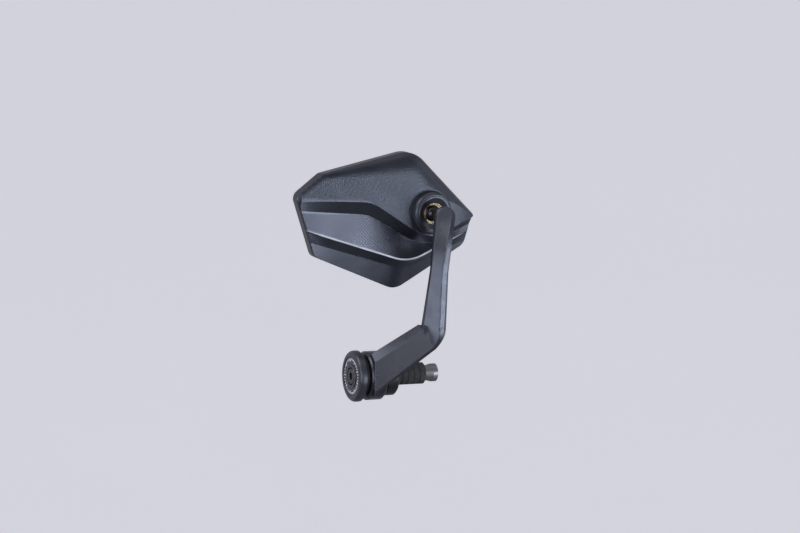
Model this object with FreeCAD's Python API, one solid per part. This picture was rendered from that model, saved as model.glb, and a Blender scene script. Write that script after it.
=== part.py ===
import FreeCAD, Part
import math
import os
from FreeCAD import Vector

# Bar-end motorcycle mirror for the right-hand end of a handlebar. Millimetres.
# Origin: centre of the handlebar's end face. +X runs into the bar, -Y is forward, +Z is up.

# Bar-end clamp
BAR_BORE = 18.0              # bore of the handlebar that takes the plug
PLUG_CLEARANCE = 0.3         # radial gap between sleeve and bar bore, slack
SLEEVE_LENGTH = 26.0
SLEEVE_BORE = 10.4
SLEEVE_GROOVES = 4           # grip grooves round the sleeve
SLEEVE_GROOVE_DEPTH = 0.5
SLEEVE_GROOVE_WIDTH = 1.6
WEDGE_ANGLE = 15.0           # half angle of the cone
WEDGE_LENGTH = 13.0
WEDGE_RIM = 4.0              # cylindrical part behind the cone
WEDGE_TRAVEL = 2.5           # slack before the cone meets the sleeve
WEDGE_ENTRY = 4.0            # how far the sleeve's flared end reaches in
WEDGE_GAP = 0.35             # gap left on the cone at the end of the travel
BOLT_DIAMETER = 8.0
BOLT_HEAD_DIAMETER = 13.0
BOLT_HEAD_HEIGHT = 5.0
BOLT_KEY = 6.0               # across the flats of the hex socket
BOLT_KEY_DEPTH = 3.6
BOLT_HEAD_EDGE = 0.6         # bevel round the head
BOLT_END = 2.0               # thread that shows past the wedge nut
BOLT_TIP = 1.0               # bevel at the thread's end
BOLT_HOLE_CLEARANCE = 0.25   # radial
THREAD_CLEARANCE = 0.05      # radial
LOCK_WASHER_DIAMETER = 14.0
LOCK_WASHER_THICKNESS = 1.4
LOCK_WASHER_EDGE = 0.3
CAP_DIAMETER = 40.8
CAP_FACE_DIAMETER = 35.0
CAP_THICKNESS = 7.0
CAP_BEVEL_DEPTH = 3.2        # axial depth of the rounded front bevel
CAP_BEVEL_STEPS = 5
CAP_BACK_EDGE = 1.0
CAP_RING_OUTER = 31.0        # turned ring groove in the face
CAP_RING_INNER = 19.0
CAP_RING_DEPTH = 0.6
CAP_HUB_DIAMETER = 19.0      # hub behind the cap that centres the thrust ring
CAP_BORE_CLEARANCE = 0.3     # radial, round the lock washer
THRUST_DIAMETER = 31.0
THRUST_THICKNESS = 4.0
THRUST_EDGE = 0.5
EYE_DIAMETER = 39.0
EYE_LENGTH = 14.0
EYE_EDGE = 1.4
FRICTION_DIAMETER = 32.0
FRICTION_THICKNESS = 1.0
SPACER_DIAMETER = 33.0
SPACER_LENGTH = 10.0
SPACER_EDGE = 1.2
GRIP_SPACE = 36.0            # round space kept free for collar and grip
SPIGOT_DIAMETER = 18.0       # the arm's eye turns on this
SPIGOT_CLEARANCE = 0.05      # radial running fit
SPIGOT_EDGE = 0.6
SPIGOT_END_GAP = 0.5         # spigot's end to the cap's hub

# Ball joint and where the head stands
BALL_DIAMETER = 14.0
BALL_CENTRE = Vector(25.9, -21.0, 129.4)
HEAD_YAW = 5.0               # head's back turned towards the bar, degrees
HEAD_PITCH = 8.0             # head's back turned down, degrees
NECK_DIAMETER = 8.4
STUD_THREAD = 6.0
STUD_THREAD_LENGTH = 8.0
STUD_HOLE_EXTRA = 0.5        # hole deeper than the thread
STUD_BOSS_DIAMETER = 12.0
STUD_BOSS_FACE = 10.8        # ball centre to the arm's boss face
STUD_WASHER_THICKNESS = 1.2
STUD_WASHER_INSET = 0.4      # washer smaller than the boss, radial
SEAT_CLEARANCE = 0.05        # radial running fit of each spherical seat
SEAT_THICKNESS = 1.7
FRONT_SEAT_FROM = 74.0       # degrees from the stud axis
FRONT_SEAT_TO = 92.0
REAR_SEAT_FROM = 114.0
SEAT_SHOWS = 3.5             # degrees of the front seat that stand out of the collar

# Arm: eye, lower leg, elbow, upper blade with a round end
ARM_ROOT = Vector(-37.0, -7.0, -8.6)     # the eye cuts the leg off outboard of here
ARM_ELBOW = Vector(20.8, -32.9, 35.3)
ARM_END_DISTANCE = 19.6      # ball centre to the middle of the blade's end
ARM_BEND_RADIUS = 12.3
ARM_BACK_BEVEL = 2.6
ARM_STEP_ALONG = 0.1         # small step next to the lower bevel, as shares of that bevel
ARM_STEP_DOWN = 0.32
ARM_BEVEL_DEPTH = 1.3         # depth of the lower bevel, as a share of its width
ARM_STEPS = 6                # sections along each straight run and round the bend
# Each section: width, thickness, azimuth and elevation of its front face in degrees,
# then the front bevels on the upper or outboard side and on the lower or inboard side
ARM_AT_ROOT = (29.6, 13.0, -28.0, -6.0, 6.0, 1.8)
ARM_AT_BEND_START = (23.4, 12.0, -36.0, -8.0, 6.5, 2.2)
ARM_AT_BEND_END = (18.6, 11.0, -42.0, -4.0, 2.6, 3.0)
ARM_AT_MIDDLE = (13.6, 10.0, -40.0, 0.0, 1.6, 3.4)
ARM_AT_END = (16.8, 8.6, -18.0, -6.0, 1.8, 4.0)
ARM_END_STEPS = (28.0, 52.0, 70.0, 83.0)     # degrees round the blade's end

# Head, in its own frame: U towards the bar, V up, W out of the back, W = 0 at the rim's front
# Corners of the outline: U, V, radius and width of the shell's rounded shoulder there
OUTLINE = (
    (-113.5, 11.5, 7.0, 3.0),
    (-92.0, 29.0, 9.0, 4.5),
    (-13.0, 48.5, 22.0, 17.0),
    (44.5, -2.5, 4.5, 15.0),
    (39.5, -28.0, 10.0, 12.0),
    (-22.0, -64.0, 16.0, 10.0),
    (-95.0, -36.0, 7.0, 3.0),
)
SMALLEST_RADIUS = 1.0
RIM_DEPTH = 9.0
RIM_WALL = 3.0
RIM_FRONT_ROUND = 1.2
RIM_BACK_ROUND = 0.8
RIM_LEDGE_DEPTH = 1.4
RIM_LEDGE_WIDTH = 3.0
GASKET_THICKNESS = 0.8
GASKET_INSET = 0.9
GLASS_GAP = 0.3
GLASS_RADIUS = 1400.0
GLASS_THICKNESS = 2.4
GLASS_FRONT = 0.8            # front of the glass behind the rim's front, at the middle
GLASS_MIDDLE = (-33.0, -6.0)
PAD_THICKNESS = 0.8
PAD_INSET = 4.0
BALL_DEPTH = 25.0            # ball centre above the rim's front
SHELL_WALL = 2.4
CHANNEL_WALL = 2.9           # thickness under the channel, along W
SHELL_HEIGHT = 22.0          # plateau height at the ball's axis
SHELL_SLOPE_U = 0.097        # plateau falls towards the outer end
SHELL_SLOPE_V = -0.05        # and towards the top edge
SHELL_SHOULDER_STEPS = 5
CAVITY_START = 4.0           # the cavity is drawn from this far below the shell's base
ROLL_OFF_START = -4.0        # the plateau rolls off inboard of here
ROLL_OFF_RADIUS = 150.0
# Moulded channel across the back, each line as (U, V, W)
RIDGE_LINE = ((-112.0, 10.5, 11.0), (-51.0, 8.5, 17.0), (-10.0, -17.0, 21.5), (8.0, -20.5, 21.0),
              (46.0, -5.0, 13.0))
FLOOR_LINE = ((-112.0, 0.5, 10.4), (-51.0, -2.8, 12.4), (-10.0, -24.0, 11.2), (8.0, -27.0, 12.0),
              (46.0, -9.5, 11.2))
LIP_LINE = ((-112.0, -13.1, 10.3), (-15.0, -41.2, 18.5), (46.0, -16.0, 10.8))
BAND_LINE = ((-112.0, -21.0, 10.1), (-17.0, -47.0, 13.0), (46.0, -22.0, 10.4))
EDGE_LINE = ((-112.0, -29.0, 10.0), (-21.0, -66.0, 10.6), (46.0, -25.7, 10.2))
LIP_ROUND = 13.0             # half length over which lip and facets turn their corner
RIDGE_ROUND = 5.0            # the same for each corner of ridge and floor
LIP_FLAT = 0.8               # small flat along the lip
RIDGE_RUN = 4.0              # the cut above the ridge leans out over this width
RIDGE_LEAN = 0.6             # least slope of that part
RIDGE_LIFT = 3.0             # extra height at its end
CHANNEL_REACH = 20.0         # the channel is cut this far past its lower edge and the top
CHANNEL_END = 5.0            # and this far past the ends of the outline
BOSS_BASE_DIAMETER = 35.0
BOSS_TOP_DIAMETER = 29.8
BOSS_BASE = 21.5
BOSS_TOP = 27.4
BOSS_ROUND_STEPS = 8
BOSS_FOOT = 4.0              # boss starts this far above the shell's base
SOCKET_BORE = 24.0
SOCKET_TUBE_WALL = 2.6
COLLAR_LIP_DIAMETER = 28.8
COLLAR_LIP = 1.1             # collar stands proud of the boss by this
COLLAR_MOUTH_DIAMETER = 25.6
COLLAR_EDGE = 0.5
COLLAR_FOOT = 2.0            # collar reaches this far below the ball's centre
PLATE_DROP = 5.3             # ball's centre to the top of the pressure plate
PLUG_THICKNESS = 2.8
PLUG_TO_CARRIER = 0.6
PLUG_KEY_DIAMETER = 3.0
PLUG_KEY_SPACING = 15.4
SPRING_HEIGHT = 1.8
SPRING_THICKNESS = 0.8
SPRING_BORE = 11.0
SPRING_CLEARANCE = 0.6       # radial, in the socket bore
PRESS_CLEARANCE = 0.05       # radial, pieces that slide or screw in the socket bore
POST_DIAMETER = 8.0
POSTS = ((-84.0, 6.0), (-38.0, 26.0), (-60.0, -27.0), (-20.0, -38.0), (29.0, -10.0))
SCREW_DIAMETER = 3.0
SCREW_HEAD_DIAMETER = 5.8
SCREW_HEAD_HEIGHT = 1.5
SCREW_LENGTH = 5.6
SCREW_CLEARANCE = 0.2        # radial, in the carrier plate
SCREW_SINK = 2.0             # top of the head in front of the plate's back
PILOT_EXTRA = 0.4            # pilot hole deeper than the screw
SLOT_LENGTH = 3.2            # cross recess
SLOT_WIDTH = 0.8
SLOT_DEPTH = 1.0

CUT_REACH = 200.0            # longer than any piece, for cuts that run right through

# Positions along the bar axis that follow from the stack
FRICTION_X = -SPACER_LENGTH - FRICTION_THICKNESS
EYE_X = FRICTION_X - EYE_LENGTH
THRUST_X = EYE_X - THRUST_THICKNESS
CAP_X = THRUST_X - CAP_THICKNESS
WASHER_X = CAP_X + BOLT_HEAD_HEIGHT
SHANK_X = WASHER_X + LOCK_WASHER_THICKNESS
WEDGE_X = SLEEVE_LENGTH - WEDGE_ENTRY + WEDGE_TRAVEL
PLUG_RADIUS = BAR_BORE / 2 - PLUG_CLEARANCE

# Depths in the head that follow from the stack
CARRIER_BACK = RIM_DEPTH - RIM_LEDGE_DEPTH
SHELL_BASE = RIM_DEPTH + GASKET_THICKNESS
BALL_RADIUS = BALL_DIAMETER / 2
SEAT_INNER = BALL_RADIUS + SEAT_CLEARANCE
SEAT_OUTER = SEAT_INNER + SEAT_THICKNESS
SOCKET_INNER = SEAT_OUTER + SEAT_CLEARANCE
PLUG_BOTTOM = CARRIER_BACK + PLUG_TO_CARRIER
SPRING_BOTTOM = PLUG_BOTTOM + PLUG_THICKNESS
PLATE_BOTTOM = SPRING_BOTTOM + SPRING_HEIGHT
SCREW_TOP = CARRIER_BACK - SCREW_SINK
SCREW_TIP = SCREW_TOP + SCREW_LENGTH

AXIS_X = Vector(1, 0, 0)
AXIS_Z = Vector(0, 0, 1)


def direction(azimuth, elevation):
    """Unit vector; azimuth 0 looks to -Y and turns towards +X."""
    a = math.radians(azimuth)
    e = math.radians(elevation)
    return Vector(math.sin(a) * math.cos(e), -math.cos(a) * math.cos(e), math.sin(e))


HEAD_BACK = direction(HEAD_YAW, -HEAD_PITCH)
HEAD_U = direction(HEAD_YAW + 90.0, 0.0)
HEAD_V = HEAD_BACK.cross(HEAD_U)


def in_head(shape):
    """Moves a shape from the head's own frame to the common frame."""
    m = FreeCAD.Matrix()
    for column, axis in enumerate((HEAD_U, HEAD_V, HEAD_BACK)):
        for row, value in enumerate(axis):
            setattr(m, "A%d%d" % (row + 1, column + 1), value)
    base = BALL_CENTRE - HEAD_BACK * BALL_DEPTH
    moved = shape.copy()
    moved.Placement = FreeCAD.Placement(base, FreeCAD.Rotation(m)).multiply(shape.Placement)
    return moved


def turned(profile, axis, origin=Vector(0, 0, 0)):
    """Solid of revolution. profile: (distance along the axis, radius) points of a closed outline."""
    side = Vector(0, 0, 1) if abs(axis.z) < 0.9 else Vector(0, 1, 0)
    side = side - axis * side.dot(axis)
    side.normalize()
    points = [origin + axis * along + side * radius for along, radius in profile]
    wire = Part.makePolygon(points + points[:1])
    return Part.Face(wire).revolve(origin, axis, 360.0)


def ring(x_from, x_to, outer, inner, edge=0.0):
    """Ring on the bar axis with both outer edges bevelled."""
    profile = [(x_from, inner), (x_from, outer - edge), (x_from + edge, outer)]
    profile += [(x_to - edge, outer), (x_to, outer - edge), (x_to, inner)]
    if edge == 0.0:
        profile = [(x_from, inner), (x_from, outer), (x_to, outer), (x_to, inner)]
    return turned(profile, AXIS_X)


def hexagon_prism(across_flats, origin, axis, length):
    """Six-sided prism along an axis."""
    corner = across_flats / math.sqrt(3.0)
    side = Vector(0, 0, 1) - axis * axis.z
    side.normalize()
    other = axis.cross(side)
    points = []
    for k in range(7):
        a = math.radians(60.0 * k)
        points.append(origin + side * (corner * math.cos(a)) + other * (corner * math.sin(a)))
    return Part.Face(Part.makePolygon(points)).extrude(axis * length)


# Bar-end clamp


def expander_sleeve():
    """Rubber sleeve with grip grooves and a flared mouth for the cone."""
    mouth = SLEEVE_BORE / 2 + WEDGE_ENTRY * math.tan(math.radians(WEDGE_ANGLE))
    profile = [(0.0, SLEEVE_BORE / 2), (0.0, PLUG_RADIUS)]
    pitch = SLEEVE_LENGTH / (SLEEVE_GROOVES + 1)
    for k in range(1, SLEEVE_GROOVES + 1):
        middle = k * pitch
        half = SLEEVE_GROOVE_WIDTH / 2
        floor = PLUG_RADIUS - SLEEVE_GROOVE_DEPTH
        profile += [(middle - half, PLUG_RADIUS), (middle - half, floor)]
        profile += [(middle + half, floor), (middle + half, PLUG_RADIUS)]
    profile += [(SLEEVE_LENGTH, PLUG_RADIUS), (SLEEVE_LENGTH, mouth)]
    profile += [(SLEEVE_LENGTH - WEDGE_ENTRY, SLEEVE_BORE / 2)]
    return turned(profile, AXIS_X)


def wedge_nut():
    """Threaded cone, drawn by its slack off the sleeve's mouth."""
    slope = math.tan(math.radians(WEDGE_ANGLE))
    small = SLEEVE_BORE / 2 - WEDGE_GAP / math.cos(math.radians(WEDGE_ANGLE))
    bore = BOLT_DIAMETER / 2 + THREAD_CLEARANCE
    cone = WEDGE_LENGTH - WEDGE_RIM
    large = small + cone * slope
    x = WEDGE_X
    profile = [(x, bore), (x, small), (x + cone, large)]
    profile += [(x + WEDGE_LENGTH, large), (x + WEDGE_LENGTH, bore)]
    return turned(profile, AXIS_X)


def clamp_bolt():
    """Low-head socket screw with a bevelled end."""
    end = WEDGE_X + WEDGE_LENGTH + BOLT_END
    head = BOLT_HEAD_DIAMETER / 2
    shank = BOLT_DIAMETER / 2
    profile = [(CAP_X, 0.0), (CAP_X, head - BOLT_HEAD_EDGE), (CAP_X + BOLT_HEAD_EDGE, head)]
    profile += [(WASHER_X, head), (WASHER_X, shank)]
    profile += [(end - BOLT_TIP, shank), (end, shank - BOLT_TIP), (end, 0.0)]
    socket = hexagon_prism(BOLT_KEY, Vector(CAP_X, 0, 0), AXIS_X, BOLT_KEY_DEPTH)
    return turned(profile, AXIS_X).cut(socket)


def lock_washer():
    """Washer under the bolt head."""
    inner = BOLT_DIAMETER / 2 + BOLT_HOLE_CLEARANCE
    return ring(WASHER_X, SHANK_X, LOCK_WASHER_DIAMETER / 2, inner, LOCK_WASHER_EDGE)


def end_cap():
    """Turned disc with a rounded bevel, a ring groove and a hub at the back."""
    outer = CAP_DIAMETER / 2
    face = CAP_FACE_DIAMETER / 2
    hub = CAP_HUB_DIAMETER / 2
    profile = [(CAP_X, 0.0), (CAP_X, face)]
    for k in range(1, CAP_BEVEL_STEPS + 1):
        a = math.radians(90.0 * k / CAP_BEVEL_STEPS)
        along = CAP_X + CAP_BEVEL_DEPTH * (1.0 - math.cos(a))
        profile.append((along, face + (outer - face) * math.sin(a)))
    profile += [(THRUST_X - CAP_BACK_EDGE, outer), (THRUST_X, outer - CAP_BACK_EDGE)]
    profile += [(THRUST_X, hub), (EYE_X, hub), (EYE_X, 0.0)]
    disc = turned(profile, AXIS_X)
    groove = ring(CAP_X, CAP_X + CAP_RING_DEPTH, CAP_RING_OUTER / 2, CAP_RING_INNER / 2)
    pocket = LOCK_WASHER_DIAMETER / 2 + CAP_BORE_CLEARANCE
    hole = BOLT_DIAMETER / 2 + BOLT_HOLE_CLEARANCE
    bore = turned([(CAP_X, 0.0), (CAP_X, pocket), (SHANK_X, pocket), (SHANK_X, hole),
                   (EYE_X, hole), (EYE_X, 0.0)], AXIS_X)
    return disc.cut(groove).cut(bore)


def thrust_ring():
    """Dark ring between the cap and the arm's eye."""
    inner = CAP_HUB_DIAMETER / 2 + SPIGOT_CLEARANCE
    return ring(THRUST_X, EYE_X, THRUST_DIAMETER / 2, inner, THRUST_EDGE)


def friction_washer():
    """Thin washer between the arm's eye and the spacer collar."""
    inner = SPIGOT_DIAMETER / 2 + SPIGOT_CLEARANCE
    return ring(FRICTION_X, -SPACER_LENGTH, FRICTION_DIAMETER / 2, inner)


def spacer_collar():
    """Collar against the bar's end with the spigot for the arm's eye."""
    outer = SPACER_DIAMETER / 2
    spigot = SPIGOT_DIAMETER / 2
    inner = BOLT_DIAMETER / 2 + BOLT_HOLE_CLEARANCE
    tip = EYE_X + SPIGOT_END_GAP
    profile = [(tip, inner), (tip, spigot - SPIGOT_EDGE), (tip + SPIGOT_EDGE, spigot)]
    profile += [(-SPACER_LENGTH, spigot)]
    profile += [(-SPACER_LENGTH, outer - SPACER_EDGE), (-SPACER_LENGTH + SPACER_EDGE, outer)]
    profile += [(-SPACER_EDGE, outer), (0.0, outer - SPACER_EDGE), (0.0, inner)]
    return turned(profile, AXIS_X)


# Arm


def mixed(a, b, share):
    """Values between two section rows."""
    return tuple(p + (q - p) * share for p, q in zip(a, b))


def arm_section(centre, tangent, row):
    """Section across the arm: bevelled corners and a small step beside the lower bevel."""
    width, thickness, azimuth, elevation, upper, lower = row
    front = direction(azimuth, elevation)
    front = front - tangent * front.dot(tangent)
    front.normalize()
    side = tangent.cross(front)
    w = width / 2
    t = thickness / 2
    b = min(ARM_BACK_BEVEL, w / 2)
    corners = ((w - lower, t), (w - lower * (1.0 - ARM_STEP_ALONG), t - lower * ARM_STEP_DOWN))
    corners += ((w, t - lower * ARM_BEVEL_DEPTH), (w, b - t), (w - b, -t))
    corners += ((b - w, -t), (-w, b - t), (-w, t - upper), (upper - w, t))
    return [centre + side * s + front * h for s, h in corners]


def arm_end():
    """Middle of the blade's round end."""
    return BALL_CENTRE + HEAD_BACK * ARM_END_DISTANCE


def arm_runs():
    """Runs of sections along the bent axis; neighbouring runs share a section."""
    end = arm_end()
    lower = (ARM_ELBOW - ARM_ROOT).normalize()
    upper = (end - ARM_ELBOW).normalize()
    turn = lower.getAngle(upper)
    reach = ARM_BEND_RADIUS * math.tan(turn / 2)
    start = ARM_ELBOW - lower * reach
    finish = ARM_ELBOW + upper * reach
    inward = (upper - lower * upper.dot(lower)).normalize()
    hub = start + inward * ARM_BEND_RADIUS
    middle = (finish + end) * 0.5
    leg = []
    bend = []
    blade = []
    top = []
    for k in range(ARM_STEPS + 1):
        share = k / ARM_STEPS
        row = mixed(ARM_AT_ROOT, ARM_AT_BEND_START, share)
        leg.append(arm_section(ARM_ROOT + (start - ARM_ROOT) * share, lower, row))
        row = mixed(ARM_AT_BEND_START, ARM_AT_BEND_END, share)
        outward = lower * math.sin(turn * share) - inward * math.cos(turn * share)
        tangent = lower * math.cos(turn * share) + inward * math.sin(turn * share)
        bend.append(arm_section(hub + outward * ARM_BEND_RADIUS, tangent, row))
        row = mixed(ARM_AT_BEND_END, ARM_AT_MIDDLE, share)
        blade.append(arm_section(finish + (middle - finish) * share, upper, row))
        row = mixed(ARM_AT_MIDDLE, ARM_AT_END, share)
        top.append(arm_section(middle + (end - middle) * share, upper, row))
    tip = [top[-1]]
    width, thickness, azimuth, elevation, outboard, inboard = ARM_AT_END
    for angle in ARM_END_STEPS:
        a = math.radians(angle)
        narrow = math.cos(a)
        row = (width * narrow, thickness, azimuth, elevation, outboard * narrow, inboard * narrow)
        tip.append(arm_section(end + upper * (width / 2 * math.sin(a)), upper, row))
    return [leg, bend, blade, top, tip]


def run_faces(sections):
    """Faces of one run: smooth corner curves with straight lines between them."""
    curves = []
    for corner in range(len(sections[0])):
        curve = Part.BSplineCurve()
        stations = [float(k) for k in range(len(sections))]
        curve.interpolate(Points=[section[corner] for section in sections], Parameters=stations)
        curves.append(curve.toShape())
    return [Part.makeRuledSurface(curves[k - 1], curves[k]) for k in range(len(curves))]


def arm_blade():
    """Lower leg, elbow and upper blade with its round end."""
    runs = arm_runs()
    faces = []
    for sections in runs:
        faces += run_faces(sections)
    for section in (runs[0][0], runs[-1][-1]):
        faces.append(Part.Face(Part.makePolygon(section + section[:1])))
    shell = Part.makeShell(faces)
    shell.sewShape()
    return Part.makeSolid(shell)


def arm():
    """The one-piece arm with its eye, stud boss and threaded hole."""
    eye = ring(EYE_X, FRICTION_X, EYE_DIAMETER / 2, 0.0, EYE_EDGE)
    boss_length = ARM_END_DISTANCE - STUD_BOSS_FACE
    face = BALL_CENTRE + HEAD_BACK * STUD_BOSS_FACE
    boss = Part.makeCylinder(STUD_BOSS_DIAMETER / 2, boss_length, face, HEAD_BACK)
    # The leg starts behind the bevel of the eye, and keeps clear of its bore and of the grip
    leg_x = EYE_X + EYE_EDGE
    outside = Part.makeCylinder(CUT_REACH, CUT_REACH, Vector(leg_x - CUT_REACH, 0, 0), AXIS_X)
    body = eye.fuse([arm_blade().cut(outside), boss])
    spigot = SPIGOT_DIAMETER / 2 + SPIGOT_CLEARANCE
    bore = Part.makeCylinder(spigot, EYE_LENGTH, Vector(EYE_X, 0, 0), AXIS_X)
    bar_side = Part.makeCylinder(GRIP_SPACE / 2, CUT_REACH, Vector(FRICTION_X, 0, 0), AXIS_X)
    hole_depth = STUD_THREAD_LENGTH + STUD_HOLE_EXTRA
    hole = Part.makeCylinder(STUD_THREAD / 2 + THREAD_CLEARANCE, hole_depth, face, HEAD_BACK)
    return body.cut([bore, bar_side, hole]).removeSplitter()


def ball_stud():
    """Ball, neck and threaded shank."""
    shoulder = STUD_BOSS_FACE - STUD_WASHER_THICKNESS
    ball = Part.makeSphere(BALL_RADIUS, BALL_CENTRE)
    neck = Part.makeCylinder(NECK_DIAMETER / 2, shoulder, BALL_CENTRE, HEAD_BACK)
    length = STUD_BOSS_FACE + STUD_THREAD_LENGTH
    shank = Part.makeCylinder(STUD_THREAD / 2, length, BALL_CENTRE, HEAD_BACK)
    return ball.fuse([neck, shank]).removeSplitter()


def stud_washer():
    """Lock washer between the stud's shoulder and the arm's boss."""
    shoulder = STUD_BOSS_FACE - STUD_WASHER_THICKNESS
    outer = STUD_BOSS_DIAMETER / 2 - STUD_WASHER_INSET
    inner = STUD_THREAD / 2 + THREAD_CLEARANCE
    profile = [(shoulder, inner), (shoulder, outer), (STUD_BOSS_FACE, outer), (STUD_BOSS_FACE, inner)]
    return turned(profile, HEAD_BACK, BALL_CENTRE)


# Head outline


def inset_corners(inset, rise):
    """Outline corners moved inwards, by an inset and by a share of their shoulder, with the radii left."""
    corners = []
    for k, (u, v, radius, shoulder) in enumerate(OUTLINE):
        corner = Vector(u, v, 0)
        before = OUTLINE[k - 1]
        after = OUTLINE[(k + 1) % len(OUTLINE)]
        to_before = (Vector(before[0], before[1], 0) - corner).normalize()
        to_after = (Vector(after[0], after[1], 0) - corner).normalize()
        half = to_before.getAngle(to_after) / 2
        step = inset + rise * shoulder
        moved = corner + (to_before + to_after).normalize() * (step / math.sin(half))
        corners.append((moved.x, moved.y, max(radius - step, SMALLEST_RADIUS)))
    return corners


def plateau(u, v, drop=0.0):
    """Height of the sloping plateau above the shell's base."""
    return SHELL_HEIGHT - SHELL_BASE - drop + SHELL_SLOPE_U * u + SHELL_SLOPE_V * v


def outline_wire(inset, base, rise=0.0, share=0.0, drop=0.0):
    """Rounded outline at a depth, moved in over the shoulder and raised towards the plateau."""

    def lifted(u, v):
        return Vector(u, v, base + share * plateau(u, v, drop))

    corners = inset_corners(inset, rise)
    arcs = []
    for k, (u, v, radius) in enumerate(corners):
        before = corners[k - 1]
        after = corners[(k + 1) % len(corners)]
        to_before = Vector(before[0] - u, before[1] - v, 0).normalize()
        to_after = Vector(after[0] - u, after[1] - v, 0).normalize()
        half = to_before.getAngle(to_after) / 2
        reach = radius / math.tan(half)
        bisector = (to_before + to_after).normalize()
        nearest = radius / math.sin(half) - radius
        arcs.append([lifted(u + d.x * r, v + d.y * r)
                     for d, r in ((to_before, reach), (bisector, nearest), (to_after, reach))])
    edges = []
    for k, (start, middle, finish) in enumerate(arcs):
        edges.append(Part.makeLine(arcs[k - 1][2], start))
        edges.append(Part.Arc(start, middle, finish).toShape())
    return Part.Wire(edges)


def slab(inset, w_from, w_to):
    """Plate in the shape of the outline."""
    face = Part.Face(outline_wire(inset, w_from))
    return face.extrude(Vector(0, 0, w_to - w_from))


def glass_ball(depth):
    """Ball whose front is the glass surface, moved back by a depth; its poles lie above and below."""
    centre = Vector(GLASS_MIDDLE[0], GLASS_MIDDLE[1], GLASS_FRONT + GLASS_RADIUS)
    return Part.makeSphere(GLASS_RADIUS - depth, centre, Vector(0, 1, 0))


# Head pieces


def front_rim():
    """Frame round the glass with a ledge that the carrier plate clamps."""
    wires = [outline_wire(RIM_FRONT_ROUND, 0.0), outline_wire(0.0, RIM_FRONT_ROUND)]
    wires += [outline_wire(0.0, RIM_DEPTH - RIM_BACK_ROUND), outline_wire(RIM_BACK_ROUND, RIM_DEPTH)]
    body = Part.makeLoft(wires, True, True)
    opening = slab(RIM_WALL, 0.0, CARRIER_BACK)
    ledge = slab(RIM_WALL + RIM_LEDGE_WIDTH, CARRIER_BACK, RIM_DEPTH)
    return body.cut([opening, ledge])


def rim_gasket():
    """Gasket in the groove between rim and shell."""
    outer = slab(GASKET_INSET, RIM_DEPTH, SHELL_BASE)
    return outer.cut(slab(SHELL_WALL + GASKET_INSET, RIM_DEPTH, SHELL_BASE))


def mirror_glass():
    """Convex glass."""
    plate = slab(RIM_WALL + GLASS_GAP, 0.0, CARRIER_BACK)
    return plate.common(glass_ball(0.0)).cut(glass_ball(GLASS_THICKNESS))


def adhesive_pad():
    """Pad between glass and carrier."""
    plate = slab(RIM_WALL + PAD_INSET, 0.0, CARRIER_BACK)
    return plate.common(glass_ball(GLASS_THICKNESS)).cut(glass_ball(GLASS_THICKNESS + PAD_THICKNESS))


def post_points():
    """Screw positions in the head."""
    return [Vector(u, v, 0) for u, v in POSTS]


def carrier_plate():
    """Plate behind the glass with countersunk screw holes."""
    plate = slab(RIM_WALL + GLASS_GAP, 0.0, CARRIER_BACK)
    plate = plate.common(glass_ball(GLASS_THICKNESS + PAD_THICKNESS))
    holes = [screw_body(0.0, SCREW_CLEARANCE, point) for point in post_points()]
    return plate.cut(holes)


def screw_body(top, grow, point):
    """Countersunk screw, or its hole when it starts higher and is grown."""
    head = SCREW_HEAD_DIAMETER / 2 + grow
    shank = SCREW_DIAMETER / 2 + grow
    neck = SCREW_TOP + SCREW_HEAD_HEIGHT
    profile = [(top, 0.0), (top, head)]
    if top < SCREW_TOP:
        profile.append((SCREW_TOP, head))
    profile += [(neck, shank), (SCREW_TIP, shank), (SCREW_TIP, 0.0)]
    return turned(profile, AXIS_Z, point)


def cross_recess(point):
    """Two crossed slots in a screw's head."""
    corner = Vector(-SLOT_LENGTH / 2, -SLOT_WIDTH / 2, SCREW_TOP)
    slot = Part.makeBox(SLOT_LENGTH, SLOT_WIDTH, SLOT_DEPTH, corner)
    across = slot.copy()
    across.rotate(Vector(0, 0, 0), AXIS_Z, 90.0)
    cross = slot.fuse(across)
    cross.translate(point)
    return cross


def carrier_screws():
    """All carrier screws as one group."""
    screws = []
    for point in post_points():
        screws.append(screw_body(SCREW_TOP, 0.0, point).cut(cross_recess(point)))
    return Part.makeCompound(screws)


# Back shell


def dome(inset, start, drop):
    """Pillow with a rounded shoulder and a sloping flat top, drawn from below the shell's base."""
    wires = []
    for k in range(SHELL_SHOULDER_STEPS + 1):
        a = math.radians(90.0 * k / SHELL_SHOULDER_STEPS)
        wires.append(outline_wire(inset, SHELL_BASE - start, 1.0 - math.cos(a), math.sin(a), drop - start))
    body = Part.makeLoft(wires, True, False)
    # Inboard of the start line the top rolls off on a large cylinder
    tilt = math.atan(SHELL_SLOPE_U)
    top = SHELL_HEIGHT - drop + SHELL_SLOPE_U * ROLL_OFF_START
    lean = Vector(-math.sin(tilt), 0, math.cos(tilt))
    foot = Vector(ROLL_OFF_START, 0, top) - lean * ROLL_OFF_RADIUS
    across = Vector(0, CUT_REACH, 0)
    barrel = Part.makeCylinder(ROLL_OFF_RADIUS, 2 * CUT_REACH, foot - across, across)
    corner = Vector(ROLL_OFF_START, 0, 0) - across
    block = Part.makeBox(CUT_REACH, 2 * CUT_REACH, CUT_REACH, corner)
    return body.cut(block.cut(barrel))


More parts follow.
